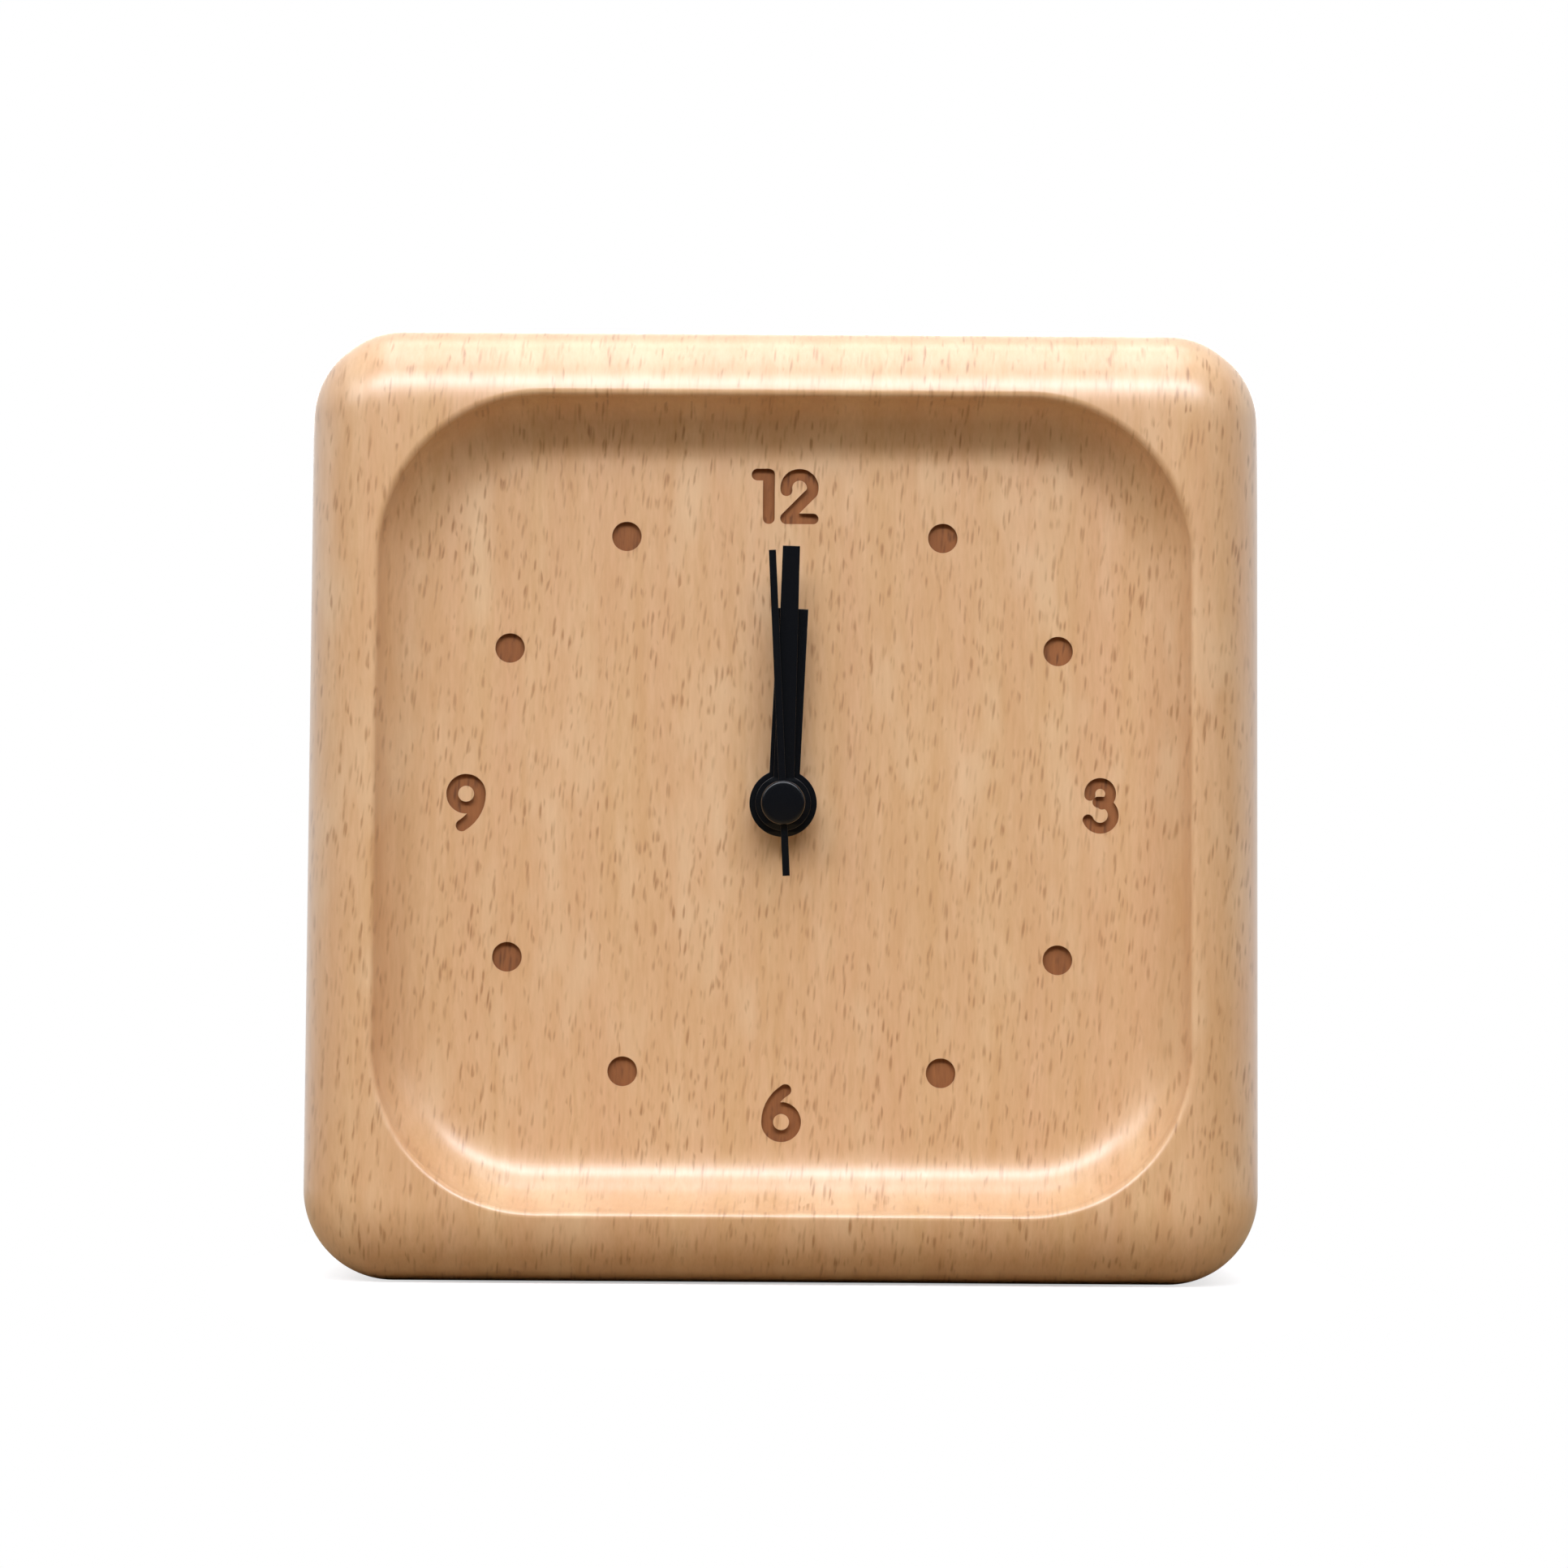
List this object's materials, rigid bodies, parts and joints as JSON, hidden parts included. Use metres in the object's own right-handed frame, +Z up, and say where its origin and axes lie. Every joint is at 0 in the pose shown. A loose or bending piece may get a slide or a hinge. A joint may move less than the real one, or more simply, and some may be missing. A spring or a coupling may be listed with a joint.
{
  "type": "alarm clock",
  "caption": "Square block of beech with a dished dial, engraved dots and numerals, black hands, and a battery movement behind a rear cover.",
  "frame": {"origin": "centre of the bounding box's bottom face, on the surface the clock stands on", "axes": "+Z up, +X to the right seen from the front, +Y from the dial to the back"},
  "size_m": [0.1, 0.04, 0.1],
  "materials": {
    "lacquered_beech": "satin clear lacquer over beech, vertical grain",
    "black_hands": "satin black lacquer on thin aluminium",
    "black_rear_plastic": "fine moulded grain",
    "black_gloss_plastic": "smooth moulded",
    "ivory_plastic": "smooth moulded",
    "white_acetal": "smooth moulded gears",
    "zinc_plated_steel": "bright zinc plating",
    "nickel_contact": "nickel-plated spring steel",
    "brass_contact": "rolled sheet",
    "sintered_magnet": "dark grey sintered",
    "soft_iron": "annealed sheet",
    "bobbin_plastic": "smooth moulded",
    "enamelled_copper": "fine enamelled wire",
    "green_circuit_board": "solder-masked laminate",
    "black_resin": "cast dome",
    "cell_sleeve": "plain metallised sleeve, unprinted"
  },
  "bodies": {
    "case": {"wooden_case": "lacquered_beech", "rear_cover": "black_rear_plastic", "rear_cover_screws": "zinc_plated_steel", "movement_front_shell": "ivory_plastic", "movement_rear_shell": "ivory_plastic", "movement_mount_screws": "zinc_plated_steel", "shell_screws": "zinc_plated_steel", "middle_plate": "white_acetal", "inner_screws": "zinc_plated_steel", "stator": "soft_iron", "coil_core": "soft_iron", "coil_bobbin": "bobbin_plastic", "coil_winding": "enamelled_copper", "circuit_board": "green_circuit_board", "timing_crystal": "nickel_contact", "chip_cover": "black_resin", "alarm_contact_spring": "brass_contact", "buzzer": "black_gloss_plastic", "switch_contact": "brass_contact", "battery": "cell_sleeve", "positive_contact": "nickel_contact", "negative_contact": "nickel_contact"},
    "seconds": {"seconds_wheel": "white_acetal", "second_hand": "black_hands", "second_hand_cap": "black_hands"},
    "intermediate": {"intermediate_wheel": "white_acetal"},
    "rotor": {"rotor_arbor": "white_acetal", "rotor_magnet": "sintered_magnet"},
    "third": {"third_wheel": "white_acetal"},
    "minutes": {"centre_wheel": "white_acetal", "minute_hand": "black_hands"},
    "transfer": {"transfer_wheel": "white_acetal"},
    "hours": {"hour_wheel": "white_acetal", "hour_hand": "black_hands"},
    "time_setting": {"time_shaft": "white_acetal", "time_knob": "black_gloss_plastic"},
    "alarm_setting": {"alarm_shaft": "white_acetal", "alarm_knob": "black_gloss_plastic"},
    "idler": {"alarm_idler": "white_acetal"},
    "alarm_time": {"alarm_wheel": "white_acetal", "alarm_hand": "black_hands"},
    "switch": {"alarm_switch": "ivory_plastic"},
    "battery_door": {"battery_cover": "black_rear_plastic"}
  },
  "joints": [
    {"name": "seconds_spin", "type": "hinge", "parent": "case", "child": "seconds", "pos_m": [0, 0, 0.05], "axis": [0, 1, 0], "continuous": true},
    {"name": "intermediate_spin", "type": "hinge", "parent": "case", "child": "intermediate", "pos_m": [0.00554, 0, 0.05554], "axis": [0, 1, 0], "continuous": true},
    {"name": "rotor_spin", "type": "hinge", "parent": "case", "child": "rotor", "pos_m": [0.01186, 0, 0.05784], "axis": [0, 1, 0], "continuous": true},
    {"name": "third_spin", "type": "hinge", "parent": "case", "child": "third", "pos_m": [-0.00707, 0, 0.05707], "axis": [0, 1, 0], "continuous": true},
    {"name": "minutes_spin", "type": "hinge", "parent": "case", "child": "minutes", "pos_m": [0, 0, 0.05], "axis": [0, 1, 0], "continuous": true},
    {"name": "transfer_spin", "type": "hinge", "parent": "case", "child": "transfer", "pos_m": [0.00699, 0, 0.04434], "axis": [0, 1, 0], "continuous": true},
    {"name": "hours_spin", "type": "hinge", "parent": "case", "child": "hours", "pos_m": [0, 0, 0.05], "axis": [0, 1, 0], "continuous": true},
    {"name": "time_knob_spin", "type": "hinge", "parent": "case", "child": "time_setting", "pos_m": [0.01599, 0, 0.04402], "axis": [0, 1, 0], "continuous": true},
    {"name": "alarm_knob_spin", "type": "hinge", "parent": "case", "child": "alarm_setting", "pos_m": [-0.016, 0, 0.04401], "axis": [0, 1, 0], "continuous": true},
    {"name": "idler_spin", "type": "hinge", "parent": "case", "child": "idler", "pos_m": [-0.0096, 0, 0.04423], "axis": [0, 1, 0], "continuous": true},
    {"name": "alarm_hand_spin", "type": "hinge", "parent": "case", "child": "alarm_time", "pos_m": [0, 0, 0.05], "axis": [0, 1, 0], "continuous": true},
    {"name": "alarm_switch_slide", "type": "slide", "parent": "case", "child": "switch", "axis": [1, 0, 0], "range_m": [0, 0.004]},
    {"name": "battery_door_pull", "type": "slide", "parent": "case", "child": "battery_door", "axis": [0, 1, 0], "range_m": [0, 0.03]}
  ],
  "couplings": [
    {"joint": "intermediate_spin", "follows": "seconds_spin", "ratio": -6},
    {"joint": "rotor_spin", "follows": "seconds_spin", "ratio": 30},
    {"joint": "third_spin", "follows": "seconds_spin", "ratio": -0.13333},
    {"joint": "minutes_spin", "follows": "seconds_spin", "ratio": 0.016667},
    {"joint": "transfer_spin", "follows": "seconds_spin", "ratio": -0.0055556},
    {"joint": "hours_spin", "follows": "seconds_spin", "ratio": 0.0013889},
    {"joint": "time_knob_spin", "follows": "seconds_spin", "ratio": 0.016667},
    {"joint": "idler_spin", "follows": "alarm_knob_spin", "ratio": -0.6},
    {"joint": "alarm_hand_spin", "follows": "alarm_knob_spin", "ratio": 0.33333}
  ]
}
